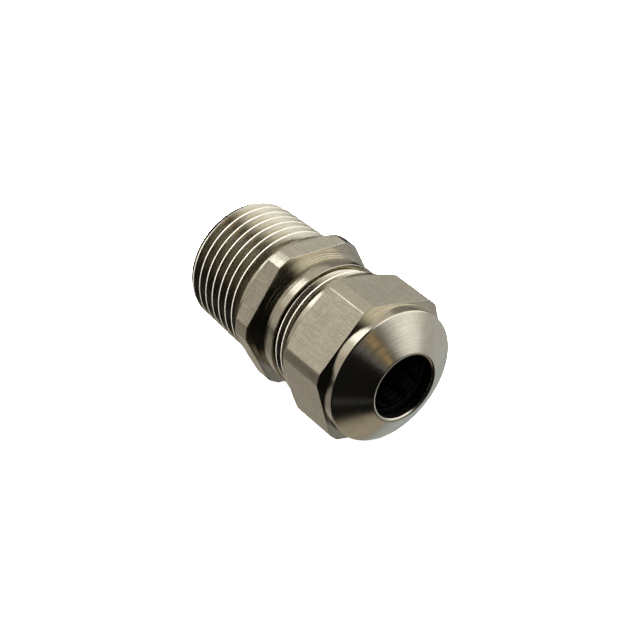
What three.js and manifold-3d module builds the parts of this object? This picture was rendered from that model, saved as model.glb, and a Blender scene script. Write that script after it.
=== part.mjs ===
// A nickel-plated brass cable gland for a 1/2 inch tapered pipe thread, lying on its side.
//
// Sizes are in millimetres. Every piece is first made about the X axis, with x = 0 at the entry end
// and +X towards the cable nut, and the finished gland is then moved into its resting frame:
// the origin is under its middle, the axis runs along +X and the nut's lowest corner touches z = 0.
import * as THREE from "three";
import { mergeVertices } from "three/addons/utils/BufferGeometryUtils.js";
import Module from "manifold-3d";

const wasm = await Module();
wasm.setup();

const TAU = Math.PI * 2;
const radians = THREE.MathUtils.degToRad;

// ---------------------------------------------------------------- driving dimensions

const LENGTH = 40.8; // entry end to the nut's nose

// Entry thread: 1/2 inch NPT, 14 threads an inch, taper 1 in 16 on the diameter.
const ENTRY = {
  pitch: 25.4 / 14,
  crestRadius: 10.24, // at the entry end
  depth: 1.22,
  taper: 1 / 32, // radius gained for each millimetre
  firstCrest: 0.35,
  end: 13.2,
  runOut: 1.2, // length over which the thread fades out
  startRadius: 9.72, // at the entry end, where a lead-in cone starts
  leadSlope: 0.55, // radius gained by the cone for each millimetre
  landFront: 0.75, // the first groove starts past this land
  landFoot: 1.5,
};

// Body outside. The corners of its hexagon point along Y, so one flat faces straight down.
const BODY = {
  rear: 13.9, // of the turned collar behind the hexagon
  hexRear: 14.75,
  hexFront: 18.3,
  hexPhase: 0,
  acrossFlats: 22.2,
  cornerRadius: 12.2,
  rearRadius: 10.9, // of the collar, where the chamfer of the hexagon's rear edge starts
  rearSlope: 0.5, // millimetres along for each millimetre of radius
  collarRadius: 10.24,
  collarFront: 18.95,
  grooveRadius: 9.85,
  grooveFront: 19.3,
  shoulderRadius: 10.38, // end of the slope from the groove up to the neck
  shoulderFront: 20.45,
  neckRadius: 10.5,
  neckRear: 21,
  neckFront: 22.55,
  neckChamfer: 0.1,
  front: 30.5,
};

// Thread between the body and the dome nut.
const CAP = {
  pitch: 1.25,
  crestRadius: 10.2,
  depth: 0.7,
  firstCrest: 22.52,
  start: 22.75,
  clearance: 0.2, // between the two threads, on the radius
};

// Body inside, from the entry end to the front.
const BORE = {
  entryRadius: 6.4,
  seatStart: 15.3,
  seatEnd: 16.6,
  chamberRadius: 7.75,
  chamfer: 0.5,
};

// Dome nut.
const NUT = {
  rear: 25.9, // of the turned collar behind the hexagon
  hexRear: 26.85,
  hexFront: 35.67,
  hexPhase: -10.2, // degrees from the body's hexagon
  acrossFlats: 22.2,
  cornerRadius: 12.3,
  rearRadius: 10.95,
  rearSlope: 0.62,
  bandRadius: 10.87,
  bandFront: 37.67,
  bandChamfer: 0.15,
  threadEnd: 32.7,
  shoulder: 35.2, // flat inside face that the slip ring bears on
  coneRadius: 7.9, // inside cone at the shoulder
  coneEnd: 39.84,
  holeRadius: 5.22,
  rimRadius: 0.4,
};

// Clamping parts.
const CONE_ANGLE = 30; // degrees, of the nut's inside cone, the slip ring and the finger noses
const GAP = 0.2; // running gap between neighbouring pieces
const FINGERS = {
  count: 10,
  root: 27.8,
  thinEnd: 30.2, // the thin root ends and the finger thickens
  fullStart: 31.2,
  tip: 38.4,
  noseLength: 2,
  innerRadius: 5.2,
  outerRadius: 6.6,
  rootThickness: 0.9,
  slot: 1.5,
  hingeX: 27.65,
  hingeRadius: 6.45,
  restClosing: 4.33, // degrees that the hand-tight nut already bends each finger inwards
};
const CAGE = { rear: 25.05, front: 27.5, innerRadius: 5.7, chamfer: 0.3 };
const SEAL = {
  rear: 17.1,
  front: 24.8,
  innerRadius: 4.7,
  lips: 3,
  lipLength: 2.2,
  lipDepth: 0.55,
  seatChamfer: 1.1,
  seatLength: 0.6,
  edge: 0.4,
};
const SLIP = { flange: 0.9, flangeRadius: 9.5, wall: 0.92, front: 38.4, edge: 0.2, lead: 0.6 };

const FACETS = 36; // in a full turn
const OVERCUT = 1; // how far a cutting solid runs past the face that it opens
const CONE_SLOPE = Math.tan(radians(CONE_ANGLE));

// ---------------------------------------------------------------- making and joining solids

// A closed geometry as a manifold-3d solid.
function solid(geometry) {
  const plain = new THREE.BufferGeometry();
  plain.setAttribute("position", geometry.getAttribute("position"));
  if (geometry.index) plain.setIndex(geometry.index);
  const merged = mergeVertices(plain, 1e-4);
  return new wasm.Manifold(
    new wasm.Mesh({
      numProp: 3,
      vertProperties: new Float32Array(merged.attributes.position.array),
      triVerts: new Uint32Array(merged.index.array),
    }),
  );
}

// A manifold-3d solid as a geometry.
function geometryOf(made) {
  const { vertProperties, triVerts, numProp } = made.getMesh();
  const positions = new Float32Array((vertProperties.length / numProp) * 3);
  for (let i = 0; i < positions.length / 3; i++) {
    positions.set(vertProperties.subarray(i * numProp, i * numProp + 3), i * 3);
  }
  const geometry = new THREE.BufferGeometry();
  geometry.setAttribute("position", new THREE.BufferAttribute(positions, 3));
  geometry.setIndex(new THREE.BufferAttribute(triVerts, 1));
  geometry.computeVertexNormals();
  return geometry;
}

// A solid turned about X from [x, radius] points, given from the entry end to the front along
// the outside. The profile starts and ends on the axis, or is closed by `ring`.
function turned(points) {
  const profile = points.map(([x, radius]) => new THREE.Vector2(radius, x));
  return solid(new THREE.LatheGeometry(profile, FACETS).rotateZ(-Math.PI / 2));
}

function ring(points) {
  return turned([...points, points[0]]);
}

// A flat shape pushed along X. The shape's x and y become Y and Z.
function pushedAlongX(shape, rear, front, curveSegments = 1) {
  const depth = front - rear;
  const block = new THREE.ExtrudeGeometry(shape, { depth, curveSegments, bevelEnabled: false });
  block.rotateZ(Math.PI / 2).rotateY(Math.PI / 2).translate(rear, 0, 0);
  return solid(block);
}

// A hexagonal bar along X with rounded corners, the first of them at `phase` degrees from +Y.
function hexagonBar({ acrossFlats, cornerRadius, hexPhase }, rear, front) {
  const halfCorner = Math.PI / 6 - Math.acos(acrossFlats / 2 / cornerRadius);
  const outline = new THREE.Shape();
  for (let corner = 0; corner < 6; corner++) {
    const middle = radians(hexPhase + 60 * corner);
    outline.absarc(0, 0, cornerRadius, middle - halfCorner, middle + halfCorner);
  }
  return pushedAlongX(outline, rear, front, 2);
}

// An endless right-hand screw of trapezoidal section, long enough to be cut to length: `radiusAt`
// gives the crest radius at any x, and one crest is centred on firstCrest at angle 0 (+Y).
function screw({ pitch, depth, firstCrest, radiusAt, from, to, crest = 0.14, root = 0.14 }) {
  const flank = (1 - crest - root) / 2;
  const section = [
    { along: 0, down: depth },
    { along: flank, down: 0 },
    { along: flank + crest, down: 0 },
    { along: 2 * flank + crest, down: depth },
  ];
  const lead = Math.ceil((firstCrest - from) / pitch) + 1;
  const start = firstCrest - (flank + crest / 2) * pitch - lead * pitch;
  const turns = Math.ceil((to - start) / pitch) + 1;
  const steps = turns * FACETS;
  const sides = section.length;
  const positions = [];
  const addPoint = (step, { along, down }) => {
    const x = start + pitch * (step / FACETS + along);
    const angle = (TAU * step) / FACETS;
    const radius = radiusAt(x) - down;
    positions.push(x, radius * Math.cos(angle), radius * Math.sin(angle));
  };
  for (let step = 0; step <= steps; step++) section.forEach((point) => addPoint(step, point));
  for (let step = steps + 1; step <= steps + FACETS; step++) addPoint(step, section[0]);
  const startCentre = positions.length / 3;
  positions.push(start + pitch / 2, 0, 0);
  positions.push(start + pitch * (turns + 0.5), 0, 0);
  const endCentre = startCentre + 1;
  // The last point of a section is the first point of the section one turn later.
  const at = (step, side) => {
    if (side === sides) return at(step + FACETS, 0);
    if (step <= steps) return step * sides + side;
    return (steps + 1) * sides + (step - steps - 1);
  };
  const faces = [];
  for (let step = 0; step < steps; step++) {
    for (let side = 0; side < sides; side++) {
      const corner = at(step + 1, side + 1);
      faces.push(at(step, side), at(step + 1, side), corner);
      faces.push(at(step, side), corner, at(step, side + 1));
    }
  }
  for (let step = 0; step < FACETS; step++) {
    faces.push(startCentre, at(step + 1, 0), at(step, 0));
    faces.push(endCentre, at(steps + step, 0), at(steps + step + 1, 0));
  }
  for (let side = 0; side < sides; side++) {
    faces.push(startCentre, at(0, side), at(0, side + 1));
    faces.push(endCentre, at(steps, side + 1), at(steps, side));
  }
  const geometry = new THREE.BufferGeometry();
  geometry.setAttribute("position", new THREE.Float32BufferAttribute(positions, 3));
  geometry.setIndex(faces);
  return solid(geometry);
}

// ---------------------------------------------------------------- body

const entryRadiusAt = (x) => ENTRY.crestRadius + ENTRY.taper * x;
const capRootRadius = CAP.crestRadius - CAP.depth;

function entryThread() {
  const thread = screw({ ...ENTRY, radiusAt: entryRadiusAt, from: 0, to: ENTRY.end });
  const outside = entryRadiusAt(ENTRY.end) + OVERCUT;
  const endRadius = entryRadiusAt(ENTRY.end) - ENTRY.depth;
  const { startRadius, leadSlope, landFront, landFoot } = ENTRY;
  const land = turned([
    [0, 0],
    [0, startRadius],
    [landFront, startRadius + leadSlope * landFront],
    [landFoot, ENTRY.crestRadius - ENTRY.depth],
    [landFoot, 0],
  ]);
  return thread.add(land).intersect(
    turned([
      [0, 0],
      [0, startRadius],
      [(outside - startRadius) / leadSlope, outside],
      [ENTRY.end - ENTRY.runOut, outside],
      [ENTRY.end, endRadius],
      [BODY.rear + OVERCUT, endRadius],
      [BODY.rear + OVERCUT, 0],
    ]),
  );
}

// A hexagon whose rear edge is turned to a chamfer, with a round collar behind it.
function collaredHexagon(sizes) {
  const { rear, hexRear, hexFront, rearRadius, rearSlope } = sizes;
  const outside = sizes.cornerRadius + OVERCUT;
  const collar = turned([
    [rear, 0],
    [rear, rearRadius],
    [hexRear + OVERCUT, rearRadius],
    [hexRear + OVERCUT, 0],
  ]);
  const hexagon = hexagonBar(sizes, hexRear, hexFront).intersect(
    turned([
      [hexRear, 0],
      [hexRear, rearRadius],
      [hexRear + rearSlope * (outside - rearRadius), outside],
      [hexFront, outside],
      [hexFront, 0],
    ]),
  );
  return hexagon.add(collar);
}

function neck() {
  const rear = BODY.hexFront - OVERCUT;
  const front = BODY.neckFront + OVERCUT;
  return turned([
    [rear, 0],
    [rear, BODY.collarRadius],
    [BODY.collarFront, BODY.collarRadius],
    [BODY.collarFront, BODY.grooveRadius],
    [BODY.grooveFront, BODY.grooveRadius],
    [BODY.shoulderFront, BODY.shoulderRadius],
    [BODY.neckRear, BODY.neckRadius],
    [BODY.neckFront - BODY.neckChamfer, BODY.neckRadius],
    [BODY.neckFront, BODY.neckRadius - BODY.neckChamfer],
    [BODY.neckFront, capRootRadius],
    [front, capRootRadius],
    [front, 0],
  ]);
}

function capThread() {
  const thread = screw({
    ...CAP,
    radiusAt: () => CAP.crestRadius,
    from: CAP.start,
    to: BODY.front,
  });
  const outside = CAP.crestRadius + OVERCUT;
  return thread.intersect(
    turned([
      [CAP.start, 0],
      [CAP.start, outside],
      [BODY.front - (outside - capRootRadius), outside],
      [BODY.front, capRootRadius],
      [BODY.front, 0],
    ]),
  );
}

function bodyBore() {
  return turned([
    [-OVERCUT, 0],
    [-OVERCUT, BORE.entryRadius + BORE.chamfer + OVERCUT],
    [BORE.chamfer, BORE.entryRadius],
    [BORE.seatStart, BORE.entryRadius],
    [BORE.seatEnd, BORE.chamberRadius],
    [BODY.front - BORE.chamfer, BORE.chamberRadius],
    [BODY.front + OVERCUT, BORE.chamberRadius + BORE.chamfer + OVERCUT],
    [BODY.front + OVERCUT, 0],
  ]);
}

function glandBody() {
  return entryThread()
    .add(collaredHexagon(BODY))
    .add(neck())
    .add(capThread())
    .subtract(bodyBore());
}

// ---------------------------------------------------------------- dome nut

// Points of the nose's rounded rim, from the outside cone round to the hole. An angle of 0 points
// along +X, and a positive one away from the axis.
function noseRim() {
  const points = [];
  for (let angle = CONE_ANGLE; angle >= -90; angle -= 30) {
    points.push([
      LENGTH + NUT.rimRadius * (Math.cos(radians(angle)) - 1),
      NUT.holeRadius + NUT.rimRadius * (Math.sin(radians(angle)) + 1),
    ]);
  }
  return points;
}

function nutOutside() {
  const rear = NUT.hexFront - OVERCUT;
  return collaredHexagon(NUT).add(
    turned([
      [rear, 0],
      [rear, NUT.bandRadius],
      [NUT.bandFront - NUT.bandChamfer, NUT.bandRadius],
      [NUT.bandFront, NUT.bandRadius - NUT.bandChamfer],
      ...noseRim(),
      [LENGTH - NUT.rimRadius, 0],
    ]),
  );
}

function nutInside() {
  const threadRadius = CAP.crestRadius + CAP.clearance;
  const minorRadius = capRootRadius + CAP.clearance;
  const rear = NUT.rear - OVERCUT;
  const thread = screw({
    ...CAP,
    radiusAt: () => threadRadius,
    from: rear,
    to: NUT.threadEnd,
    crest: 0.28,
    root: 0.1,
  });
  const threadedLength = turned([
    [rear, 0],
    [rear, threadRadius + OVERCUT],
    [NUT.threadEnd, threadRadius + OVERCUT],
    [NUT.threadEnd, 0],
  ]);
  return thread.intersect(threadedLength).add(
    turned([
      [rear, 0],
      [rear, threadRadius + OVERCUT],
      [rear + OVERCUT + threadRadius - minorRadius, minorRadius],
      [NUT.threadEnd - GAP, minorRadius],
      [NUT.threadEnd - GAP, threadRadius],
      [NUT.shoulder, threadRadius],
      [NUT.shoulder, NUT.coneRadius],
      [NUT.coneEnd, NUT.holeRadius],
      [LENGTH + OVERCUT, NUT.holeRadius],
      [LENGTH + OVERCUT, 0],
    ]),
  );
}

// ---------------------------------------------------------------- clamping parts

// A rubber sleeve with lips inside, tapered at its rear to fit the body's seat.
function sealingSleeve() {
  const outer = BORE.chamberRadius - GAP;
  const valley = SEAL.innerRadius + SEAL.lipDepth;
  const bore = [];
  for (let lip = 0; lip < SEAL.lips; lip++) {
    const front = SEAL.front - SEAL.edge - lip * SEAL.lipLength;
    bore.push([front, valley]);
    bore.push([front - 0.3 * SEAL.lipLength, SEAL.innerRadius]);
    bore.push([front - 0.7 * SEAL.lipLength, SEAL.innerRadius]);
  }
  return ring([
    [SEAL.rear, outer - SEAL.seatChamfer],
    [SEAL.rear + SEAL.seatLength, outer],
    [SEAL.front - SEAL.edge, outer],
    [SEAL.front, outer - SEAL.edge],
    [SEAL.front, valley],
    ...bore,
    [SEAL.rear, valley],
  ]);
}

function cageRing() {
  const outer = BORE.chamberRadius - GAP;
  return ring([
    [CAGE.rear, outer - CAGE.chamfer],
    [CAGE.rear + CAGE.chamfer, outer],
    [CAGE.front - CAGE.chamfer, outer],
    [CAGE.front, outer - CAGE.chamfer],
    [CAGE.front, CAGE.innerRadius],
    [CAGE.rear + CAGE.chamfer, CAGE.innerRadius],
    [CAGE.rear, CAGE.innerRadius + CAGE.chamfer],
  ]);
}

// The space of one finger on the +Y side, between two slots with parallel sides.
function fingerSpace() {
  const half = Math.PI / FINGERS.count;
  const far = FINGERS.outerRadius + 2 * OVERCUT;
  const across = far * Math.sin(half) - (FINGERS.slot / 2) * Math.cos(half);
  const out = far * Math.cos(half) + (FINGERS.slot / 2) * Math.sin(half);
  const wedge = new THREE.Shape([
    new THREE.Vector2(FINGERS.slot / 2 / Math.sin(half), 0),
    new THREE.Vector2(out, across),
    new THREE.Vector2(out, -across),
  ]);
  return pushedAlongX(wedge, FINGERS.root - OVERCUT, FINGERS.tip + OVERCUT);
}

// One finger of the clamping cage, straight, on the +Y side. Its thin root is what bends.
function clampFinger() {
  const thinInner = FINGERS.hingeRadius - FINGERS.rootThickness / 2;
  const thinOuter = FINGERS.hingeRadius + FINGERS.rootThickness / 2;
  return ring([
    [FINGERS.root, thinInner],
    [FINGERS.root, thinOuter],
    [FINGERS.thinEnd, thinOuter],
    [FINGERS.fullStart, FINGERS.outerRadius],
    [FINGERS.tip - FINGERS.noseLength, FINGERS.outerRadius],
    [FINGERS.tip, FINGERS.outerRadius - CONE_SLOPE * FINGERS.noseLength],
    [FINGERS.tip, FINGERS.innerRadius],
    [FINGERS.fullStart, FINGERS.innerRadius],
    [FINGERS.thinEnd, thinInner],
  ]).intersect(fingerSpace());
}

// The ring between the turning nut and the fingers: a thin cone with a flange at its rear.
function slipRing() {
  const coneAt = (x) => NUT.coneRadius - GAP - CONE_SLOPE * (x - NUT.shoulder);
  const front = NUT.shoulder - GAP;
  const rear = front - SLIP.flange;
  return ring([
    [rear, SLIP.flangeRadius - SLIP.edge],
    [rear + SLIP.edge, SLIP.flangeRadius],
    [front, SLIP.flangeRadius],
    [front, coneAt(front)],
    [SLIP.front, coneAt(SLIP.front)],
    [SLIP.front, coneAt(SLIP.front) - SLIP.wall],
    [rear + SLIP.lead, coneAt(rear + SLIP.lead) - SLIP.wall],
    [rear, coneAt(rear) - SLIP.wall + SLIP.lead],
  ]);
}

// ---------------------------------------------------------------- materials and assembly

const bodyNickel = new THREE.MeshStandardMaterial({
  color: 0xaaa391,
  roughness: 0.3,
  metalness: 1,
});
const nutNickel = new THREE.MeshStandardMaterial({
  color: 0xaba594,
  roughness: 0.32,
  metalness: 1,
});
const blackRubber = new THREE.MeshStandardMaterial({ color: 0x121212, roughness: 0.8 });
const blackNylon = new THREE.MeshStandardMaterial({ color: 0x1a1a1b, roughness: 0.55 });
const slipNylon = new THREE.MeshStandardMaterial({ color: 0x222224, roughness: 0.4 });

function piece(name, made, material) {
  const mesh = new THREE.Mesh(geometryOf(made), material);
  mesh.name = name;
  return mesh;
}

// The fingers stand round the axis, each turned inwards about its own thin root.
function fingerAt(index, made) {
  const finger = piece(`clamp_finger_${index + 1}`, made, blackNylon);
  finger.position.set(-FINGERS.hingeX, -FINGERS.hingeRadius, 0);
  const root = new THREE.Group();
  root.position.set(FINGERS.hingeX, FINGERS.hingeRadius, 0);
  root.rotation.z = -radians(FINGERS.restClosing);
  root.add(finger);
  const place = new THREE.Group();
  place.rotation.x = (TAU * index) / FINGERS.count;
  place.add(root);
  return place;
}

const nut = piece("dome_nut", nutOutside().subtract(nutInside()), nutNickel);
const gland = new THREE.Group();
gland.add(
  piece("gland_body", glandBody(), bodyNickel),
  nut,
  piece("sealing_sleeve", sealingSleeve(), blackRubber),
  piece("cage_ring", cageRing(), blackNylon),
  piece("slip_ring", slipRing(), slipNylon),
);
const finger = clampFinger();
for (let index = 0; index < FINGERS.count; index++) gland.add(fingerAt(index, finger));

// The nut's lowest corner rests at z = 0.
nut.geometry.computeBoundingBox();
gland.position.set(-LENGTH / 2, 0, -nut.geometry.boundingBox.min.z);

const frame = new THREE.Group();
frame.add(gland);

export default frame;
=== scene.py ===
"""Looks of a nickel-plated brass cable gland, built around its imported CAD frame.

Everything is in metres in the frame's own axes: +X along the gland towards the dome nut, +Z up,
floor at z = 0. The shapes are worked out in millimetres, x along the gland's axis from the entry
end and radius from the axis, and `shell_object` and `finger_object` put them into the frame.
"""

import math

import bmesh
import bpy
import numpy as np
from mathutils import Matrix, Vector


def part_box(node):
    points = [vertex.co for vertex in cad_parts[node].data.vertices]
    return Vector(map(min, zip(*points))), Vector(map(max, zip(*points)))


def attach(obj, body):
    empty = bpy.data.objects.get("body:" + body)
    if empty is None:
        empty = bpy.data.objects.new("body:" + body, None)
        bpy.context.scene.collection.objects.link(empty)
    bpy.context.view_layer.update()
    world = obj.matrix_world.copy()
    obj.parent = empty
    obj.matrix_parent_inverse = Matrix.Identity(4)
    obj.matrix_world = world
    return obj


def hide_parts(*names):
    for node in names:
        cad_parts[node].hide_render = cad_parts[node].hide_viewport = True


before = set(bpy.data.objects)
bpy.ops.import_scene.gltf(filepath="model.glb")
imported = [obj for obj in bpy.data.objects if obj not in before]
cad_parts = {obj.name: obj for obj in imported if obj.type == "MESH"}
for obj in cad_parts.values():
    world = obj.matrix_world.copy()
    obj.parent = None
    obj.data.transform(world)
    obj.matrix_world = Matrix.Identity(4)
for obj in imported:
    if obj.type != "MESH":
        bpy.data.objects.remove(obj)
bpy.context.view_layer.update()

TAU = 2 * math.pi
MM = 0.001

# ---------------------------------------------------------------- driving dimensions, millimetres

ENTRY_PITCH = 25.4 / 14
ENTRY_CREST = 10.24  # crest radius at the entry end
ENTRY_TAPER = 1 / 32
ENTRY_DEPTH = 1.22
ENTRY_FIRST_CREST = 0.35
ENTRY_END = 13.2
ENTRY_RUN_OUT_SLOPE = 1.85
ENTRY_START_RADIUS = 9.72  # where the lead-in cone starts
ENTRY_LEAD_SLOPE = 0.55
ENTRY_LAND_FRONT = 0.75  # the first groove starts past this land
ENTRY_LAND_SLOPE = 1.48
ENTRY_CREST_SHARE = 0.06  # half the crest's width, in pitches
ENTRY_FLANK_SHARE = 0.38
ENTRY_FACE_MIDDLE = 7.3  # radius halfway across the end face
ENTRY_FACE_EDGE = 8.6
THREAD_SOFT = 0.05  # how far a thread's edges are rounded, as a share of its depth

BODY_ACROSS_FLATS = 22.2
BODY_CORNER = 12.2  # radius of the rounded corners
BODY_PHASE = 0.0  # degrees from +Y to a corner
BODY_REAR = 13.9
BODY_HEX_REAR = 14.75
BODY_HEX_FRONT = 18.3
BODY_REAR_RADIUS = 10.9
BODY_REAR_SLOPE = 0.5  # millimetres along for each millimetre of radius
BODY_HEX_SOFT = 0.12  # how far the hexagon's edges are rounded
BODY_FRONT_FACE = 10.85  # radius of a ring on the hexagon's front face
BODY_COLLAR = 10.24
BODY_COLLAR_FRONT = 18.95
BODY_GROOVE = 9.85
BODY_GROOVE_FRONT = 19.3
BODY_NECK = 10.5
NECK_CURVE = [(19.8, 10.12), (20.4, 10.36), (21.2, 10.47), (21.9, BODY_NECK)]
NECK_FILLET = 0.9
BODY_NECK_FRONT = 22.55
BODY_FRONT = 30.5

CAP_PITCH = 1.25
CAP_CREST = 10.2
CAP_DEPTH = 0.7
CAP_FIRST_CREST = 22.52
CAP_START = 22.75
CAP_START_SLOPE = 3.0
CAP_CLEARANCE = 0.2
CAP_CREST_SHARE = 0.07
CAP_FLANK_SHARE = 0.36

BORE_ENTRY = 6.4
BORE_CHAMBER = 7.75
BORE_STEP_REAR = 15.3
BORE_STEP_FRONT = 16.6
BORE_CHAMFER = 0.5

NUT_ACROSS_FLATS = 22.2
NUT_CORNER = 12.3
NUT_PHASE = -10.2
NUT_REAR = 25.9
NUT_HEX_REAR = 26.85
NUT_HEX_FRONT = 35.67
NUT_REAR_RADIUS = 10.95
NUT_REAR_SLOPE = 0.62
NUT_HEX_SOFT = 0.045
NUT_FRONT_FACE = 11.0
NUT_BAND = 10.87
NUT_BAND_MIDDLE = 36.4
NUT_BAND_FRONT = 37.67
NUT_BAND_EDGE = 0.15
NUT_SHOULDER = 35.2
NUT_CONE = 7.9  # radius of the inside cone at the shoulder
NUT_CONE_END = 39.84
NUT_THREAD_END = 32.5
NUT_CREST_SHARE = 0.14
NUT_FLANK_SHARE = 0.31
NUT_HOLE = 5.22
NUT_RIM = 0.4
RIM_POINTS = 9
CONE_ROWS = (0.06, 0.25, 0.45, 0.65, 0.85)  # shares of the way along the outside cone
LENGTH = 40.8

SEAL_REAR = 17.1
SEAL_FRONT = 24.8
SEAL_INNER = 4.7
SEAL_LIPS = 3
SEAL_LIP_LENGTH = 2.2
SEAL_LIP_DEPTH = 0.55
SEAL_LIP_PLACES = ((0.2, 0.0), (0.6, 0.0), (0.9, 1.0))  # shares of a lip's length and depth
SEAL_EDGE = 0.4  # from the front to the first lip
SEAL_CHAMFER = 0.6
SEAL_CHAMFER_DEPTH = 1.1

CAGE_REAR = 25.05
CAGE_FRONT = 27.5
CAGE_INNER = 5.7
CAGE_BEVEL = 0.6

SLIP_FLANGE = 0.9  # thickness
SLIP_FLANGE_RADIUS = 9.5
SLIP_FLANGE_STEP = 0.5
SLIP_WALL = 0.92
SLIP_CHAMFER = 0.6
SLIP_FRONT = 38.4

FINGERS = 10
FINGER_ROOT = 27.8
FINGER_TIP = 38.4
FINGER_NOSE = 2.0  # length of the slope at the tip
FINGER_NOSE_RELIEF = 0.02
FINGER_INNER = 5.2
FINGER_OUTER = 6.6
FINGER_SLOT = 1.5
FINGER_THIN_HALF = 0.45  # half the thickness of the thin part at the root
FINGER_THIN_FRONT = 30.2
FINGER_THICK_REAR = 31.2
FINGER_BEVEL = 0.1
FINGER_POINTS = 5  # across a finger
HINGE_X = 27.65
HINGE_RADIUS = 6.45
REST_CLOSING = math.radians(4.33)  # how far a finger is bent in at rest
RIDGE_START = 32.0
RIDGE_PITCH = 1.0
RIDGE_DEPTH = 0.3
RIDGE_RISE = 0.25
RIDGE_REST = 0.1

CONE_ANGLE = math.radians(30)
CONE_SLOPE = math.tan(CONE_ANGLE)
GAP = 0.2  # between pieces that would touch
ROUND_COLUMNS = 144
MERGE = 2e-7  # metres

body_low, body_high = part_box("gland_body")
START_X = body_low.x / MM  # where the entry end is in the frame
AXIS_Z = (body_low.z + body_high.z) / 2 / MM

# ---------------------------------------------------------------- shells round the axis


def hexagon_angles(across_flats, corner, phase):
    """Angles round the axis, close together at the edges between flats and rounded corners."""
    edge = math.degrees(math.pi / 6 - math.acos(across_flats / 2 / corner))
    near_edge = [-0.9, -0.55, -0.28, 0.0, 0.28, 0.55, 0.9]
    near_corner = [-1.5, 0.0, 1.5]
    flat_steps = 20
    angles = []
    for side in range(6):
        middle = phase + 60 * side
        angles += [middle - edge + step for step in near_edge]
        angles += [middle + step for step in near_corner]
        angles += [middle + edge + step for step in near_edge]
        start = middle + edge + near_edge[-1]
        span = 60 - 2 * (edge + near_edge[-1])
        angles += [start + span * (step + 1) / (flat_steps + 1) for step in range(flat_steps)]
    return np.radians(np.array(angles))


def even_angles(count):
    return np.arange(count) * TAU / count


def soft_min(a, b, width):
    """The smaller of two radii, with the edge between them rounded."""
    blend = np.maximum(width - np.abs(a - b), 0) / width
    return np.minimum(a, b) - blend * blend * width / 4


def from_flat_middle(angles, phase):
    """How far each angle is from the middle of its flat, either way."""
    return np.mod(angles - math.radians(phase), math.pi / 3) - math.pi / 6


def hexagon_radius(angles, across_flats, corner, phase):
    """Radius of a hexagon with rounded corners at each angle."""
    rounding = 0.05
    return soft_min(across_flats / 2 / np.cos(from_flat_middle(angles, phase)), corner, rounding)


class Shell:
    """A closed surface made of rows of points round the axis, each row with one point per angle."""

    def __init__(self, angles):
        self.angles = angles
        self.rows = []
        self.threads = []

    def row(self, x, radius, flat=0.0):
        full = np.ones_like(self.angles)
        self.rows.append((x * full, radius * full, flat * full))

    def ring(self, points):
        for x, radius in points:
            self.row(x, radius)

    def thread(self, start, end, pitch, first_crest, stops, radius_at, backwards=False):
        """Rows along a right-hand helix between two planes. `stops` are the places of the rows
        within one pitch, and radius_at(x, t) gives the radius t pitches from a crest."""
        turns = math.ceil((end - start) / pitch) + 3
        around = self.angles / TAU
        base = first_crest + (math.floor((start - first_crest) / pitch) - 1) * pitch
        made = []
        for turn in range(turns):
            for stop in stops:
                x = np.clip(base + (turn + stop + around) * pitch, start, end)
                t = (x - first_crest) / pitch - around
                made.append((x, radius_at(x, t - np.round(t)), np.zeros_like(x)))
        shift = len(stops)
        if backwards:
            made.reverse()
            shift = -shift
        self.threads.append((len(self.rows), len(self.rows) + len(made) - 1, shift))
        self.rows += made

    def seam(self):
        """How rows join across the seam: a row of a thread meets the row one turn on."""
        total = len(self.rows)
        joins = []
        row = 0
        while row < total:
            first, last, shift = next((t for t in self.threads if t[0] == row), (row, row, 0))
            for step in range(-abs(shift), last - first + abs(shift)):
                left = [min(max(first + step + i, first), last) for i in (0, 1)]
                right = [min(max(first + step + shift + i, first), last) for i in (0, 1)]
                if left[0] != left[1] or right[0] != right[1]:
                    joins.append((left[0], left[1], right[0], right[1]))
            after = (last + 1) % total
            joins.append((last, after, last, after))
            row = last + 1
        return joins

    def faces(self):
        count = len(self.angles)
        total = len(self.rows)
        columns = np.arange(count - 1)
        faces = []
        for row in range(total):
            here = row * count + columns
            there = (row + 1) % total * count + columns
            faces.append(np.stack([here, here + 1, there + 1, there], 1))
        end = count - 1
        across_seam = [
            (left * count + end, right * count, next_right * count, next_left * count + end)
            for left, next_left, right, next_right in self.seam()
        ]
        faces.append(np.array(across_seam))
        return np.concatenate(faces)

    def points(self):
        x = np.stack([row[0] for row in self.rows])
        radius = np.stack([row[1] for row in self.rows])
        y = radius * np.cos(self.angles)
        z = radius * np.sin(self.angles)
        return np.stack([x, y, z], -1).reshape(-1, 3)

    def flats(self):
        return np.concatenate([row[2] for row in self.rows])


# ---------------------------------------------------------------- profiles

NEARLY_STRAIGHT = 1.55  # half a corner's angle past which it gets no fillet
FILLET_SHARE = 0.45  # the most of a side that one fillet takes up
CORNER_FLAT = 0.25  # how much of the flats' finish shows on the hexagons' rounded corners


def filleted(points, steps=3):
    """A profile of (x, radius, fillet) corners as (x, radius) points, each corner rounded to its
    fillet in `steps` steps. The first and last corners stay as they are."""
    made = [points[0][:2]]
    for before, here, after in zip(points, points[1:], points[2:]):
        corner = np.array(here[:2], float)
        back = np.array(before[:2]) - corner
        on = np.array(after[:2]) - corner
        length_back, length_on = np.linalg.norm(back), np.linalg.norm(on)
        back, on = back / length_back, on / length_on
        half = math.acos(float(np.clip(back @ on, -1, 1))) / 2
        reach = here[2] / math.tan(half) if half < NEARLY_STRAIGHT else 0
        reach = min(reach, FILLET_SHARE * length_back, FILLET_SHARE * length_on)
        if reach <= 0:
            made.append(tuple(corner))
            continue
        for step in range(steps + 1):
            t = step / steps
            bent = (1 - t) ** 2 * (corner + back * reach) + 2 * t * (1 - t) * corner
            made.append(tuple(bent + t * t * (corner + on * reach)))
    made.append(points[-1][:2])
    return made


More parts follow.
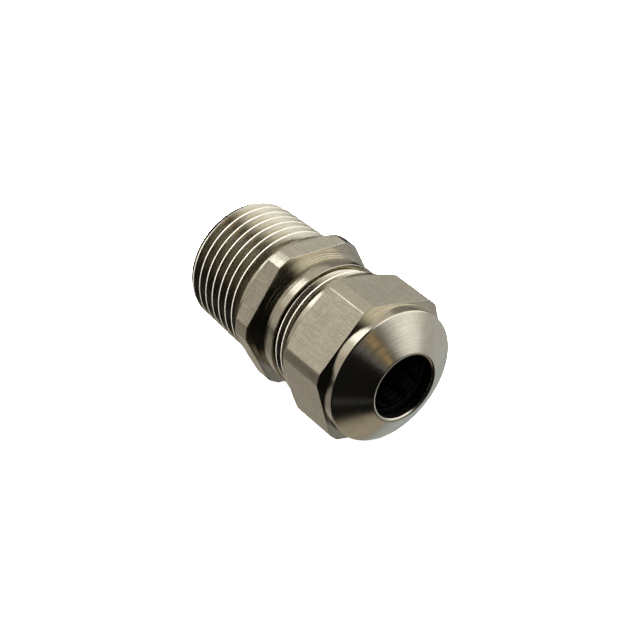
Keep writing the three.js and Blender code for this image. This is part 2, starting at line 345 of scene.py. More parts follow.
def thread_depth(t, crest, flank):
    """How far down a trapezoidal thread with rounded edges is, t pitches from a crest: 0 to 1."""
    fall = (np.abs(t) - crest) / flank
    return soft_min(-soft_min(-fall, 0.0, THREAD_SOFT), 1.0, THREAD_SOFT)


def thread_stops(crest, flank, flank_steps):
    """Places of a thread's rows within one pitch, from one crest's middle to the next one's."""
    edge = THREAD_SOFT * flank
    foot = crest + flank
    half = [0, crest - edge, crest, crest + edge]
    step = (flank - 2 * edge) / (flank_steps + 1)
    half += [crest + edge + step * (i + 1) for i in range(flank_steps)]
    half += [foot - edge, foot, foot + edge]
    return half + [0.5] + [1 - stop for stop in reversed(half[1:])]


def hexagon_rows(shell, sizes, places, rear_radius, rear_slope, edge):
    """The rows of a hexagon between two places, whose rear is turned to a chamfer. They follow the
    arcs where the chamfer meets the flats. `flat` is 1 on the flats and less on the corners."""
    rear, front = places
    across_flats, corner, phase = sizes
    radius = hexagon_radius(shell.angles, *sizes)
    arc = rear + rear_slope * (radius - rear_radius)
    turn = from_flat_middle(shell.angles, phase)
    flat = np.where(np.abs(turn) < math.acos(across_flats / 2 / corner), 1.0, CORNER_FLAT)
    for share in (0.12, 0.5, 0.88):
        shell.row(rear + share * (arc - rear), rear_radius + share * (radius - rear_radius))
    shell.row(arc - 0.2 * edge, radius - 0.45 * edge, 0.5 * flat)
    shell.row(arc + 0.25 * edge, radius - 0.12 * edge, flat)
    shell.row(arc + edge, radius, flat)
    for share in (0.2, 0.4, 0.6, 0.8):
        shell.row(arc + edge + share * (front - arc - 2 * edge), radius, flat)
    shell.row(front - edge, radius, flat)
    shell.row(front - 0.3 * edge, radius - 0.1 * edge, flat)
    shell.row(front - 0.1 * edge, radius - 0.3 * edge, 0.5 * flat)
    shell.row(front, radius - edge)


# ---------------------------------------------------------------- pieces

ENTRY_RELIEF = ENTRY_CREST + ENTRY_TAPER * ENTRY_END - ENTRY_DEPTH  # radius past the run-out
CAP_ROOT = CAP_CREST - CAP_DEPTH
BEFORE_CHAMFER = 0.03  # where the row before a hexagon's chamfer lies


def entry_radius(x, t):
    """Radius of the entry thread, with its lead-in cone, the land at its start and its run-out."""
    crest = ENTRY_CREST + ENTRY_TAPER * x
    radius = crest - ENTRY_DEPTH * thread_depth(t, ENTRY_CREST_SHARE, ENTRY_FLANK_SHARE)
    land_radius = ENTRY_START_RADIUS + ENTRY_LEAD_SLOPE * ENTRY_LAND_FRONT
    land = land_radius - ENTRY_LAND_SLOPE * (x - ENTRY_LAND_FRONT)
    radius = -soft_min(-radius, -land, 0.1)
    radius = soft_min(radius, ENTRY_START_RADIUS + ENTRY_LEAD_SLOPE * x, 0.06)
    return soft_min(radius, ENTRY_RELIEF + ENTRY_RUN_OUT_SLOPE * (ENTRY_END - x), 0.1)


def cap_radius(x, t):
    """Radius of the thread that the dome nut screws onto, chamfered at both ends."""
    radius = CAP_CREST - CAP_DEPTH * thread_depth(t, CAP_CREST_SHARE, CAP_FLANK_SHARE)
    radius = soft_min(radius, CAP_ROOT + CAP_START_SLOPE * (x - CAP_START), 0.05)
    return soft_min(radius, CAP_ROOT + (BODY_FRONT - x), 0.05)


def gland_body_shell():
    sizes = (BODY_ACROSS_FLATS, BODY_CORNER, BODY_PHASE)
    shell = Shell(hexagon_angles(*sizes))
    shell.ring([(0, ENTRY_FACE_MIDDLE), (0, ENTRY_FACE_EDGE)])
    stops = thread_stops(ENTRY_CREST_SHARE, ENTRY_FLANK_SHARE, 4)
    shell.thread(0, ENTRY_END, ENTRY_PITCH, ENTRY_FIRST_CREST, stops, entry_radius)
    rear = [
        (ENTRY_END + 0.05, ENTRY_RELIEF, 0),
        (BODY_REAR, ENTRY_RELIEF, 0.25),
        (BODY_REAR, BODY_REAR_RADIUS, 0.12),
        (BODY_HEX_REAR - BEFORE_CHAMFER, BODY_REAR_RADIUS, 0),
    ]
    shell.ring(filleted(rear))
    places = (BODY_HEX_REAR, BODY_HEX_FRONT)
    hexagon_rows(shell, sizes, places, BODY_REAR_RADIUS, BODY_REAR_SLOPE, BODY_HEX_SOFT)
    neck = [
        (BODY_HEX_FRONT, BODY_FRONT_FACE, 0),
        (BODY_HEX_FRONT, BODY_COLLAR, 0.08),
        (BODY_COLLAR_FRONT, BODY_COLLAR, 0.1),
        (BODY_COLLAR_FRONT, BODY_GROOVE, 0.08),
        (BODY_GROOVE_FRONT, BODY_GROOVE, 0.15),
        *[(x, radius, NECK_FILLET) for x, radius in NECK_CURVE],
        (BODY_NECK_FRONT, BODY_NECK, 0.12),
        (BODY_NECK_FRONT, CAP_ROOT, 0.1),
        (CAP_START - 0.1, CAP_ROOT, 0),
    ]
    shell.ring(filleted(neck, 4))
    stops = thread_stops(CAP_CREST_SHARE, CAP_FLANK_SHARE, 2)
    shell.thread(CAP_START, BODY_FRONT, CAP_PITCH, CAP_FIRST_CREST, stops, cap_radius)
    bore = [
        (BODY_FRONT, CAP_ROOT - 0.2, 0),
        (BODY_FRONT, BORE_CHAMBER + BORE_CHAMFER, 0.1),
        (BODY_FRONT - BORE_CHAMFER, BORE_CHAMBER, 0.2),
        (BORE_STEP_FRONT, BORE_CHAMBER, 0.2),
        (BORE_STEP_REAR, BORE_ENTRY, 0.3),
        (BORE_CHAMFER, BORE_ENTRY, 0.15),
        (0, BORE_ENTRY + BORE_CHAMFER, 0.12),
        (0, ENTRY_FACE_MIDDLE, 0),
    ]
    shell.ring(filleted(bore)[:-1])
    return shell


NUT_THREAD = CAP_CREST + CAP_CLEARANCE  # radius at the bottom of the nut's thread


def nut_thread_radius(x, t):
    """Radius of the nut's inside thread, chamfered at the rear."""
    radius = NUT_THREAD - CAP_DEPTH * thread_depth(t, NUT_CREST_SHARE, NUT_FLANK_SHARE)
    return -soft_min(-radius, -(NUT_THREAD + NUT_REAR - x), 0.05)


def nose_rings():
    """Points on the nut's outside cone and round the rim of its hole, from the band inwards."""
    rim = [
        (
            LENGTH - NUT_RIM + NUT_RIM * math.cos(turn),
            NUT_HOLE + NUT_RIM + NUT_RIM * math.sin(turn),
        )
        for turn in np.linspace(CONE_ANGLE, -math.pi / 2, RIM_POINTS)
    ]
    start = np.array([NUT_BAND_FRONT, NUT_BAND - NUT_BAND_EDGE])
    cone = [tuple(start + (np.array(rim[0]) - start) * share) for share in CONE_ROWS]
    return cone, rim


def dome_nut_shell():
    sizes = (NUT_ACROSS_FLATS, NUT_CORNER, NUT_PHASE)
    shell = Shell(hexagon_angles(*sizes))
    collar = [
        (NUT_REAR, NUT_THREAD + 0.1, 0),
        (NUT_REAR, NUT_REAR_RADIUS, 0.1),
        (NUT_HEX_REAR - BEFORE_CHAMFER, NUT_REAR_RADIUS, 0),
    ]
    shell.ring(filleted(collar))
    places = (NUT_HEX_REAR, NUT_HEX_FRONT)
    hexagon_rows(shell, sizes, places, NUT_REAR_RADIUS, NUT_REAR_SLOPE, NUT_HEX_SOFT)
    cone, rim = nose_rings()
    band = [
        (NUT_HEX_FRONT, NUT_FRONT_FACE, 0),
        (NUT_HEX_FRONT, NUT_BAND, 0.06),
        (NUT_BAND_MIDDLE, NUT_BAND, 0),
        (NUT_BAND_FRONT - NUT_BAND_EDGE, NUT_BAND, 0.15),
        (NUT_BAND_FRONT, NUT_BAND - NUT_BAND_EDGE, 0.15),
        (*cone[0], 0),
    ]
    shell.ring(filleted(band))
    shell.ring(cone[1:])
    shell.ring(rim)
    inside = [
        (LENGTH - NUT_RIM - 0.1, NUT_HOLE, 0),
        (NUT_CONE_END, NUT_HOLE, 0.15),
        (NUT_SHOULDER, NUT_CONE, 0.1),
        (NUT_SHOULDER, NUT_THREAD, 0.15),
        (NUT_THREAD_END + 0.1, NUT_THREAD, 0),
    ]
    shell.ring(filleted(inside))
    stops = thread_stops(NUT_CREST_SHARE, NUT_FLANK_SHARE, 1)
    helix = (NUT_REAR, NUT_THREAD_END, CAP_PITCH, CAP_FIRST_CREST)
    shell.thread(*helix, stops, nut_thread_radius, backwards=True)
    return shell


def turned_shell(points):
    """A closed profile turned round the axis."""
    shell = Shell(even_angles(ROUND_COLUMNS))
    shell.ring(filleted(points + points[:1])[:-1])
    return shell


def sealing_sleeve_shell():
    outer = BORE_CHAMBER - GAP
    valley = SEAL_INNER + SEAL_LIP_DEPTH
    points = [
        (SEAL_REAR, valley + SEAL_CHAMFER, 0),
        (SEAL_REAR, outer - SEAL_CHAMFER_DEPTH, 0.2),
        (SEAL_REAR + SEAL_CHAMFER, outer, 0.3),
        (SEAL_FRONT, outer, 0.4),
        (SEAL_FRONT, valley, 0.25),
    ]
    for lip in range(SEAL_LIPS):
        front = SEAL_FRONT - SEAL_EDGE - lip * SEAL_LIP_LENGTH
        for along, depth in SEAL_LIP_PLACES:
            radius = SEAL_INNER + depth * SEAL_LIP_DEPTH
            points.append((front - along * SEAL_LIP_LENGTH, radius, 0.3))
    points.append((SEAL_REAR, valley, 0.3))
    return turned_shell(points)


def cage_ring_shell():
    outer = BORE_CHAMBER - GAP
    points = [
        (CAGE_REAR, outer - CAGE_BEVEL, 0),
        (CAGE_REAR, outer, 0.3),
        (CAGE_FRONT, outer, 0.3),
        (CAGE_FRONT, CAGE_INNER, 0.15),
        (CAGE_REAR, CAGE_INNER, 0.3),
    ]
    return turned_shell(points)


def slip_ring_shell():
    front = NUT_SHOULDER - GAP
    rear = front - SLIP_FLANGE

    def cone_at(x):
        return NUT_CONE - GAP - CONE_SLOPE * (x - NUT_SHOULDER)

    inner = rear + SLIP_CHAMFER
    points = [
        (rear, SLIP_FLANGE_RADIUS - SLIP_FLANGE_STEP, 0),
        (rear, SLIP_FLANGE_RADIUS, 0.2),
        (front, SLIP_FLANGE_RADIUS, 0.12),
        (front, cone_at(front), 0.1),
        (SLIP_FRONT, cone_at(SLIP_FRONT), 0.15),
        (SLIP_FRONT, cone_at(SLIP_FRONT) - SLIP_WALL, 0.15),
        (inner, cone_at(inner) - SLIP_WALL, 0.2),
        (rear, cone_at(rear) - SLIP_WALL + SLIP_CHAMFER, 0.1),
    ]
    return turned_shell(points)


def finger_profile():
    """(x, inner radius, outer radius) along a straight finger, with gripping ridges inside."""
    thin_inner = HINGE_RADIUS - FINGER_THIN_HALF
    thin_outer = HINGE_RADIUS + FINGER_THIN_HALF
    stations = [
        (FINGER_ROOT, thin_inner, thin_outer),
        (FINGER_THIN_FRONT, thin_inner, thin_outer),
        (FINGER_THICK_REAR, FINGER_INNER, FINGER_OUTER),
    ]
    nose = FINGER_TIP - FINGER_NOSE
    ridge = RIDGE_START
    while ridge + RIDGE_PITCH < FINGER_TIP:
        end = ridge + RIDGE_PITCH - RIDGE_REST
        for x, depth in ((ridge, 0.0), (ridge + RIDGE_RISE, RIDGE_DEPTH), (end, 0.0)):
            outer = FINGER_OUTER - CONE_SLOPE * max(0, x - nose)
            stations.append((x, FINGER_INNER + depth, outer))
        ridge += RIDGE_PITCH
    stations.append((nose, FINGER_INNER + FINGER_NOSE_RELIEF, FINGER_OUTER))
    stations.append((FINGER_TIP, FINGER_INNER, FINGER_OUTER - CONE_SLOPE * FINGER_NOSE))
    return sorted(stations)


def finger_section(shape, x, inner, outer):
    """The corners of a finger's section at x: its outer arc one way and its inner arc back."""
    shares = np.linspace(-1, 1, FINGER_POINTS)
    section = []
    for radius, way in ((outer, 1), (inner, -1)):
        half = math.pi / FINGERS - math.asin(FINGER_SLOT / 2 / radius)
        for share in way * shares:
            angle = half * share
            section.append(shape.verts.new((x, radius * math.cos(angle), radius * math.sin(angle))))
    return section


def finger_shape():
    """A straight finger, a slice of a ring between two slots with parallel sides."""
    shape = bmesh.new()
    sections = [finger_section(shape, *station) for station in finger_profile()]
    for here, there in zip(sections, sections[1:]):
        for i in range(len(here)):
            j = (i + 1) % len(here)
            shape.faces.new((here[i], here[j], there[j], there[i]))
    shape.faces.new(list(reversed(sections[0])))
    shape.faces.new(sections[-1])
    bmesh.ops.recalc_face_normals(shape, faces=shape.faces)
    sharp = [edge for edge in shape.edges if edge.calc_face_angle(0) > math.radians(40)]
    bmesh.ops.bevel(
        shape,
        geom=sharp,
        offset=FINGER_BEVEL,
        segments=2,
        profile=0.5,
        affect="EDGES",
        clamp_overlap=True,
    )
    return shape


def finger_object(index, material):
    """One finger of the clamping cage, bent in at its root as far as the nut's cone bends it."""
    shape = finger_shape()
    closing = Matrix.Rotation(-REST_CLOSING, 4, "Z")
    to_hinge = Matrix.Translation((HINGE_X, HINGE_RADIUS, 0))
    bend = to_hinge @ closing @ to_hinge.inverted()
    around = Matrix.Rotation(TAU * index / FINGERS, 4, "X")
    into_frame = Matrix.Scale(MM, 4) @ Matrix.Translation((START_X, 0, AXIS_Z))
    shape.transform(into_frame @ around @ bend)
    mesh = bpy.data.meshes.new(f"clamp_finger_{index + 1}_fine")
    shape.to_mesh(mesh)
    shape.free()
    mesh.shade_smooth()
    finger = finished(mesh, material)
    finger.modifiers.new("normals", "WEIGHTED_NORMAL").weight = 100
    return finger


# ---------------------------------------------------------------- turning shells into objects


def finished(mesh, material):
    mesh.materials.append(material)
    obj = bpy.data.objects.new(mesh.name, mesh)
    bpy.context.scene.collection.objects.link(obj)
    return obj


def turned_normals(mesh):
    """Smooth normals weighted by the areas of the faces round each point. Where the shell is
    turned they have no part along the circumference, so that the uneven columns don't show."""
    count = len(mesh.vertices)
    places = np.zeros(count * 3)
    mesh.vertices.foreach_get("co", places)
    places = places.reshape(-1, 3)
    flat = np.zeros(count)
    mesh.attributes["flat"].data.foreach_get("value", flat)
    normals = np.zeros((count, 3))
    for face in mesh.polygons:
        normals[list(face.vertices)] += np.array(face.normal) * face.area
    across = places[:, 1:] - np.array([0, AXIS_Z * MM])
    outward = across / np.linalg.norm(across, axis=1)[:, None]
    radial = (normals[:, 1:] * outward).sum(1)[:, None] * outward
    normals[:, 1:] = np.where(flat[:, None] > 0, normals[:, 1:], radial)
    normals /= np.linalg.norm(normals, axis=1)[:, None]
    mesh.shade_smooth()
    mesh.normals_split_custom_set_from_vertices(normals.tolist())


def shell_object(name, shell, material):
    """A shell as an object in the frame, without the points that coincide."""
    points = (shell.points() + np.array([START_X, 0, AXIS_Z])) * MM
    faces = shell.faces()
    mesh = bpy.data.meshes.new(name)
    mesh.from_pydata(points.tolist(), [], faces.tolist())
    mesh.attributes.new("flat", "FLOAT", "POINT").data.foreach_set("value", shell.flats())
    shape = bmesh.new()
    shape.from_mesh(mesh)
    bmesh.ops.remove_doubles(shape, verts=shape.verts, dist=MERGE)
    bmesh.ops.dissolve_degenerate(shape, edges=shape.edges, dist=MERGE)
    shape.to_mesh(mesh)
    shape.free()
    turned_normals(mesh)
    return finished(mesh, material)


def add_piece(obj, node, body):
    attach(obj, body)
    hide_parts(node)


# ---------------------------------------------------------------- materials


class Graph:
    """A material's nodes, with short calls for the ones used here."""

    def __init__(self, name):
        self.material = bpy.data.materials.new(name)
        self.material.use_nodes = True
        self.nodes = self.material.node_tree.nodes
        self.links = self.material.node_tree.links
        self.shader = self.nodes["Principled BSDF"]

    def add(self, kind, inputs=(), **settings):
        node = self.nodes.new(kind)
        for key, value in settings.items():
            setattr(node, key, value)
        for key, value in dict(inputs).items():
            self.plug(node.inputs[key], value)
        return node

    def plug(self, socket, value):
        if isinstance(value, bpy.types.NodeSocket):
            self.links.new(value, socket)
        else:
            socket.default_value = value

    def math(self, operation, *values):
        node = self.nodes.new("ShaderNodeMath")
        node.operation = operation
        for socket, value in zip(node.inputs, values):
            self.plug(socket, value)
        return node.outputs[0]

    def combine(self, x, y, z):
        return self.add("ShaderNodeCombineXYZ", {0: x, 1: y, 2: z}).outputs[0]

    def noise(self, vector, scale=1.0, detail=2.0, roughness=0.5):
        inputs = {"Vector": vector, "Scale": scale, "Detail": detail, "Roughness": roughness}
        return self.add("ShaderNodeTexNoise", inputs).outputs["Fac"]

    def spread(self, value, low, high, to_low=0.0, to_high=1.0):
        inputs = {0: value, 1: low, 2: high, 3: to_low, 4: to_high}
        return self.add("ShaderNodeMapRange", inputs, clamp=True).outputs[0]

    def mix(self, share, a, b):
        node = self.nodes.new("ShaderNodeMix")
        node.data_type = "RGBA"
        for socket, value in ((node.inputs[0], share), (node.inputs[6], a), (node.inputs[7], b)):
            self.plug(socket, value)
        return node.outputs[2]

    def bump(self, height, distance, strength=1.0, normal=None):
        inputs = {"Height": height, "Distance": distance, "Strength": strength}
        if normal is not None:
            inputs["Normal"] = normal
        return self.add("ShaderNodeBump", inputs).outputs[0]

    def round_axis(self):
        """Millimetres along from the entry end, the two across, the radius, and the angle."""
        where = self.add("ShaderNodeTexCoord").outputs["Object"]
        split = self.add("ShaderNodeSeparateXYZ", {0: where}).outputs
        along = self.math("MULTIPLY_ADD", split[0], 1000.0, -START_X)
        y = self.math("MULTIPLY", split[1], 1000.0)
        z = self.math("MULTIPLY_ADD", split[2], 1000.0, -AXIS_Z)
        squares = self.math("ADD", self.math("MULTIPLY", y, y), self.math("MULTIPLY", z, z))
        radius = self.math("SQRT", squares)
        return along, y, z, radius, self.math("ARCTAN2", z, y)


def colour(red, green, blue):
    """An sRGB colour, 0 to 1, as the linear one that sockets hold."""
    linear = [c / 12.92 if c < 0.04045 else ((c + 0.055) / 1.055) ** 2.4 for c in (red, green, blue)]
    return (*linear, 1)


PLATING = colour(0.82, 0.79, 0.715)
BODY_DULLER = colour(0.76, 0.73, 0.65)
NUT_DULLER = colour(0.77, 0.74, 0.66)
SATIN = colour(0.97, 0.935, 0.85)  # the flats
SATIN_DULLER = colour(0.79, 0.76, 0.68)
# Tarnish in the thread roots, also painted shade: it is strongest low down and thins out higher up.
FILM_AND_SHADE = colour(0.36, 0.31, 0.24)
# Painted shade on the lead-in cone at the entry end.
LEAD_IN_PAINTED_SHADE = colour(0.15, 0.14, 0.12)
# Pale worn crests, which also paint the highlight lines along them.
WORN_AND_HIGHLIGHT = colour(0.84, 0.82, 0.77)

CREST_DEPTHS = (0.005, 0.04)  # millimetres below the crest between which the wear and painted highlight end
FILM_DEPTHS = (0.12, 0.4)  # and between which the film begins
SHADE_HEIGHTS = (1.0, 9.0)  # millimetres above the axis between which the film's painted shade thins out, lighter on the upper side
FILM_AND_SHADE_SHARE = 0.22
LEAD_IN_SHADE_ALONG = (0.25, 0.45)  # millimetres from the entry end between which the painted shade on the lead-in cone ends
LEAD_IN_SHADE_RADII = (9.3, 9.6)
SATIN_SHARE = 0.85


def thread_masks(g, along, z, radius, speckle, threads):
    """How far each point is on a thread's pale crest, worn and with a painted highlight, and how far
    under
    the dark film low in a thread: tarnish in the roots, and painted shade that thins on the upper
    side.

    Each thread is (start, end, crest radius at the entry end's plane, taper), in millimetres."""
    crest, film_and_shade = 0.0, 0.0
    for start, end, crest_radius, taper in threads:
        past_start = g.math("GREATER_THAN", along, start)
        inside = g.math("MULTIPLY", past_start, g.math("LESS_THAN", along, end))
        depth = g.math("SUBTRACT", g.math("MULTIPLY_ADD", along, taper, crest_radius), radius)
        high = g.math("MULTIPLY", inside, g.spread(depth, *CREST_DEPTHS, 1.0, 0.0))
        low = g.math("MULTIPLY", inside, g.spread(depth, *FILM_DEPTHS))
        crest = g.math("ADD", crest, high)
        film_and_shade = g.math("ADD", film_and_shade, low)
    film_and_shade = g.math("MULTIPLY", film_and_shade, g.spread(speckle, 0.35, 0.6, 1.0, 0.35))
    # Painted shade: the film is strongest below the axis and thins out towards the top, where light
    # falls.
    film_and_shade = g.math("MULTIPLY", film_and_shade, g.spread(z, *SHADE_HEIGHTS, 1.0, 0.1))
    # Pale crests: wear, and a painted highlight line along each crest.
    worn_and_highlight = g.math("MULTIPLY", crest, g.spread(speckle, 0.4, 0.6, 0.75, 1.0))
    return worn_and_highlight, film_and_shade


def plating_colour(g, tones, masks, places):
    """Cloudy plating, satin on the flats, with the tarnish film and its painted shade, painted shade
    on the lead-in cone, and the wear with its painted highlight.
    """
    cloud, speckle, drawn = tones
    flat, worn_and_highlight, film_and_shade = masks
    along, radius, bright, dull = places
    mottle = g.math("MULTIPLY_ADD", cloud, 0.7, g.math("MULTIPLY", speckle, 0.3))
    clean = g.mix(g.spread(mottle, 0.35, 0.65), bright, dull)
    grain = g.math("MULTIPLY_ADD", drawn, 0.4, g.math("MULTIPLY", speckle, 0.6))
    satin = g.mix(g.spread(grain, 0.38, 0.62), SATIN, SATIN_DULLER)
    clean = g.mix(g.math("MULTIPLY", flat, SATIN_SHARE), clean, satin)
    filmed = g.mix(g.math("MULTIPLY", film_and_shade, FILM_AND_SHADE_SHARE), clean, FILM_AND_SHADE)
    # Painted shade on the lead-in cone at the entry end.
    near_end = g.spread(along, *LEAD_IN_SHADE_ALONG, 0.85, 0.0)
    lead_in_shade = g.math("MULTIPLY", near_end, g.spread(radius, *LEAD_IN_SHADE_RADII))
    return g.mix(worn_and_highlight, g.mix(lead_in_shade, filmed, LEAD_IN_PAINTED_SHADE), WORN_AND_HIGHLIGHT)


def turned_noise(g, along, radius, angle, scale, detail):
    """Noise drawn out round the axis, as a turning tool leaves it."""
    along, radius = g.math("MULTIPLY", along, scale), g.math("MULTIPLY", radius, scale)
    return g.noise(g.combine(along, radius, angle), 1.0, detail)


def nickel(name, bright, dull, threads=()):
    """Nickel plating over brass: turning lines round the axis, drawn lines along the flats, cloudy
    changes of tone, a dark film low in the threads that is tarnish and painted shade, and pale
    crests that are worn and painted as highlight lines."""
    g = Graph(name)
    along, y, z, radius, angle = g.round_axis()
    flat = g.add("ShaderNodeAttribute", attribute_name="flat").outputs["Fac"]
    whole = g.combine(along, y, z)
    cloud = g.noise(whole, 0.35, 4.0, 0.6)
    speckle = g.noise(whole, 5.0, 3.0, 0.7)
    across = [g.math("MULTIPLY", side, 7.0) for side in (y, z)]
    drawn = g.noise(g.combine(g.math("MULTIPLY", along, 0.35), *across), 1.0, 3.0)
    worn_and_highlight, film_and_shade = thread_masks(g, along, z, radius, speckle, threads)

    tones, masks, places = (cloud, speckle, drawn), (flat, worn_and_highlight, film_and_shade), (along, radius, bright, dull)
    g.plug(g.shader.inputs["Base Color"], plating_colour(g, tones, masks, places))
    g.plug(g.shader.inputs["Metallic"], g.spread(worn_and_highlight, 0.0, 1.0, 1.0, 0.75))
    g.shader.inputs["Anisotropic"].default_value = 0.5
    g.shader.inputs["Anisotropic Rotation"].default_value = 0.25
    tangent = g.add("ShaderNodeTangent", direction_type="RADIAL", axis="X")
    g.plug(g.shader.inputs["Tangent"], tangent.outputs[0])

    wide_lines = turned_noise(g, along, radius, angle, 1.6, 2.0)
    rough = g.math("ADD", g.spread(wide_lines, 0.3, 0.7, 0.13, 0.2), g.math("MULTIPLY", flat, 0.2))
    rough = g.math("ADD", rough, g.math("MULTIPLY", film_and_shade, 0.12))
    rough = g.math("ADD", rough, g.spread(speckle, 0.4, 0.7, 0.0, 0.06))
    g.plug(g.shader.inputs["Roughness"], rough)

    fine_lines = turned_noise(g, along, radius, angle, 9.0, 3.0)
    lines = g.add("ShaderNodeMix", {0: g.spread(flat, 0.05, 0.2), 2: fine_lines, 3: drawn})
    relief = g.bump(lines.outputs[0], 0.02 * MM, 0.6)
    g.plug(g.shader.inputs["Normal"], g.bump(speckle, 0.014 * MM, 0.6, relief))
    return g.material


def moulded(name, low, high, roughness, grain, depth):
    """A moulded rubber or plastic: a fine grain, and a little unevenness of tone and gloss."""
    g = Graph(name)
    along, y, z = g.round_axis()[:3]
    whole = g.combine(along, y, z)
    cloud = g.noise(whole, 0.8, 3.0)
    fine = g.noise(whole, grain, 2.0, 0.6)
    g.plug(g.shader.inputs["Base Color"], g.mix(g.spread(cloud, 0.35, 0.65), low, high))
    uneven = g.spread(fine, 0.3, 0.7, roughness - 0.06, roughness + 0.06)
    g.plug(g.shader.inputs["Roughness"], uneven)
    g.plug(g.shader.inputs["Normal"], g.bump(fine, depth * MM, 0.6))
    g.shader.inputs["Specular IOR Level"].default_value = 0.06
    return g.material


ENTRY_THREAD = (-1.0, ENTRY_END, ENTRY_CREST, ENTRY_TAPER)
CAP_THREAD = (BODY_NECK_FRONT + 0.05, BODY_FRONT, CAP_CREST, 0.0)
body_nickel = nickel("body_nickel", PLATING, BODY_DULLER, [ENTRY_THREAD, CAP_THREAD])
nut_nickel = nickel("nut_nickel", PLATING, NUT_DULLER)
# The black rubber and nylon are darker than the real plastics: painted shade for the inside of the
# hole, where they sit.
RUBBER = (colour(0.014, 0.014, 0.014), colour(0.025, 0.025, 0.025))
NYLON = (colour(0.007, 0.007, 0.008), colour(0.012, 0.012, 0.014))
SMOOTH_NYLON = (colour(0.008, 0.008, 0.009), colour(0.014, 0.014, 0.016))
black_rubber = moulded("black_rubber", *RUBBER, 0.85, 9.0, 0.02)
black_nylon = moulded("black_nylon", *NYLON, 0.6, 7.0, 0.012)
slip_nylon = moulded("slip_nylon", *SMOOTH_NYLON, 0.5, 5.0, 0.008)

# Each piece's node, the body it rides on, its shape, its material, and the slot it belongs to.
for node, body, make_shell, material, slot in (
    ("gland_body", "gland_body", gland_body_shell, body_nickel, "body_nickel"),
    ("dome_nut", "dome_nut", dome_nut_shell, nut_nickel, "nut_nickel"),
    ("sealing_sleeve", "gland_body", sealing_sleeve_shell, black_rubber, "black_rubber"),
    ("cage_ring", "gland_body", cage_ring_shell, black_nylon, "black_nylon"),
    ("slip_ring", "slip_ring", slip_ring_shell, slip_nylon, "slip_nylon"),
):
    add_piece(shell_object(f"{node}_fine", make_shell(), material), node, body)
for index in range(FINGERS):
    finger_name = f"clamp_finger_{index + 1}"
    add_piece(finger_object(index, black_nylon), finger_name, finger_name)

# ---------------------------------------------------------------- floor, light and camera


def direction(azimuth, elevation):
    a, e = math.radians(azimuth), math.radians(elevation)
    return (math.cos(e) * math.cos(a), math.cos(e) * math.sin(a), math.sin(e))


def vector_node(nodes, operation):
    node = nodes.new("ShaderNodeVectorMath")
    node.operation = operation
    return node


def panel_glow(nodes, links, way, panel):
    """The light of one panel in each direction, with a soft edge."""
    azimuth, elevation, half, soft, strength, tint = panel
    dot = vector_node(nodes, "DOT_PRODUCT")
    links.new(way, dot.inputs[0])
    dot.inputs[1].default_value = direction(azimuth, elevation)
    edge = nodes.new("ShaderNodeMapRange")
    edge.interpolation_type = "SMOOTHSTEP"
    links.new(dot.outputs["Value"], edge.inputs["Value"])
    edge.inputs["From Min"].default_value = math.cos(math.radians(half + soft))
    edge.inputs["From Max"].default_value = math.cos(math.radians(max(half - soft, 0)))
    glow = vector_node(nodes, "SCALE")
    glow.inputs[0].default_value = [strength * part for part in tint]
    links.new(edge.outputs[0], glow.inputs["Scale"])
    return glow.outputs[0]


def studio_world(dark, panels):
    """A dark room with soft panels round the object, the brighter one showing where two overlap.
    Each panel is (azimuth, elevation, half-angle, softness, strength, tint), with the angles in
    degrees: azimuth 0 is the dome nut's end and 90 the far side, and elevation 90 is overhead."""
    world = bpy.data.worlds.new("studio")
    bpy.context.scene.world = world
    world.use_nodes = True
    nodes, links = world.node_tree.nodes, world.node_tree.links
    way = nodes.new("ShaderNodeTexCoord").outputs["Generated"]
    brightest = dark
    for panel in panels:
        glow = panel_glow(nodes, links, way, panel)
        joined = vector_node(nodes, "MAXIMUM")
        links.new(glow, joined.inputs[0])
        if brightest is dark:
            joined.inputs[1].default_value = dark
        else:
            links.new(brightest, joined.inputs[1])
        brightest = joined.outputs[0]
    links.new(brightest, nodes["Background"].inputs["Color"])


WHITE = (0.98, 1.0, 1.03)
WARM = (1.0, 0.955, 0.88)
BROWN = (1.0, 0.91, 0.76)
GOLD = (1.0, 0.76, 0.46)
COOL = (0.9, 1.0, 0.99)
studio_world(
    (0.008, 0.008, 0.0075),
    [
        (64, 49, 41, 10, 1.5, WHITE),  # the main one, high on the far side
        (72, -12, 36, 8, 0.56, WHITE),
        (116, -42, 27, 9, 0.48, COOL),
        (-154, 43, 13, 4, 2.1, WHITE),  # the bright patch on the neck
        (-138, 31, 16, 8, 0.88, WARM),
        (-135, 8, 22, 6, 0.52, WARM),
        (142, 28, 24, 8, 0.26, WARM),
        (165, 48, 22, 6, 0.62, WARM),
        (172, -54, 20, 8, 0.45, WARM),
        (-142, -36, 17, 7, 0.3, WARM),
        (60, -85, 24, 8, 0.42, BROWN),  # the underside
        (16, 22, 4, 4, 0.38, WARM),  # this and the rest streak the nose
        (2, 18, 5, 3, 0.7, GOLD),
        (-7, 12, 4, 3, 0.34, WHITE),
        (-22, -39, 3, 2, 0.1, WHITE),
    ],
)


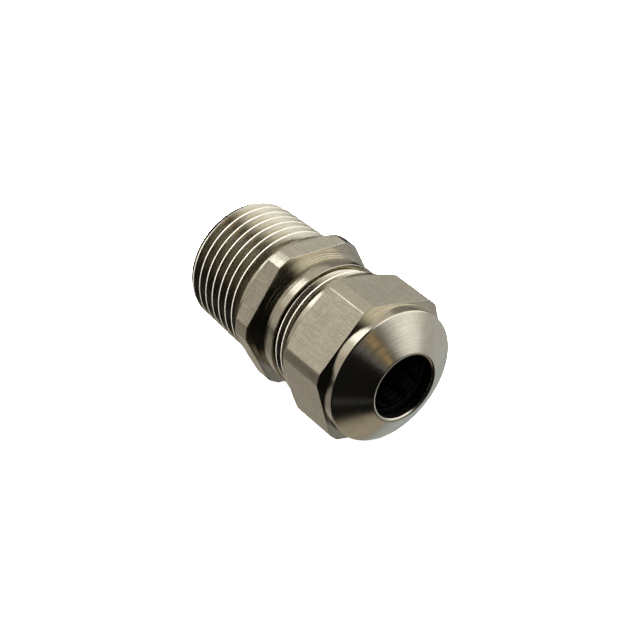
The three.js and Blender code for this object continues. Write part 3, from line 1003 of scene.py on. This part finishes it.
def soft_light(name, size, strength, place):
    """A large lamp aimed at the object that isn't mirrored in it."""
    light = bpy.data.lights.new(name, "AREA")
    light.shape = "DISK"
    light.size = size
    light.energy = strength
    obj = bpy.data.objects.new(name, light)
    bpy.context.scene.collection.objects.link(obj)
    obj.location = place
    obj.rotation_euler = (-Vector(place)).to_track_quat("-Z", "Y").to_euler()
    obj.visible_glossy = False


soft_light("overhead", 2.4, 130.0, (0.05, 0.1, 1.2))
soft_light("front", 1.4, 90.0, (0.25, -0.95, 0.4))

FLOOR_SIZE = 6
FLOOR_DROP = 0.00002  # keeps the floor clear of the piece that rests on it
bpy.ops.mesh.primitive_grid_add(
    x_subdivisions=4, y_subdivisions=4, size=FLOOR_SIZE, location=(0, 0, -FLOOR_DROP)
)
floor = bpy.context.object
floor.name = "floor"
floor.visible_glossy = False
floor.visible_diffuse = False
paper = Graph("paper")
fibres = paper.noise(paper.add("ShaderNodeTexCoord").outputs["Object"], 40.0, 3.0)
paper_tone = paper.mix(fibres, colour(0.97, 0.97, 0.97), colour(0.98, 0.98, 0.98))
paper.plug(paper.shader.inputs["Base Color"], paper_tone)
paper.shader.inputs["Roughness"].default_value = 0.9
floor.data.materials.append(paper.material)

# The camera's place is in millimetres from the entry end, with the axis at height 0.
CAMERA_PLACE = (200.85, -153.27, 149.01)
CAMERA_RIGHT = Vector((0.59682, 0.79657, 0.0964))
CAMERA_UP = Vector((-0.4771, 0.25571, 0.84083))
SENSOR = 36.0  # millimetres
LENS = 104.2621875  # millimetres

camera_data = bpy.data.cameras.new("camera")
camera_data.sensor_width = SENSOR
camera_data.lens = LENS
camera_data.clip_start = 0.01
camera = bpy.data.objects.new("camera", camera_data)
bpy.context.scene.collection.objects.link(camera)
camera_back = CAMERA_RIGHT.cross(CAMERA_UP)
camera_turn = Matrix((CAMERA_RIGHT, CAMERA_UP, camera_back)).transposed().to_4x4()
camera_place = (Vector(CAMERA_PLACE) + Vector((START_X, 0, AXIS_Z))) * MM
camera.matrix_world = Matrix.Translation(camera_place) @ camera_turn
bpy.context.scene.camera = camera

bpy.context.scene.view_settings.view_transform = "Standard"
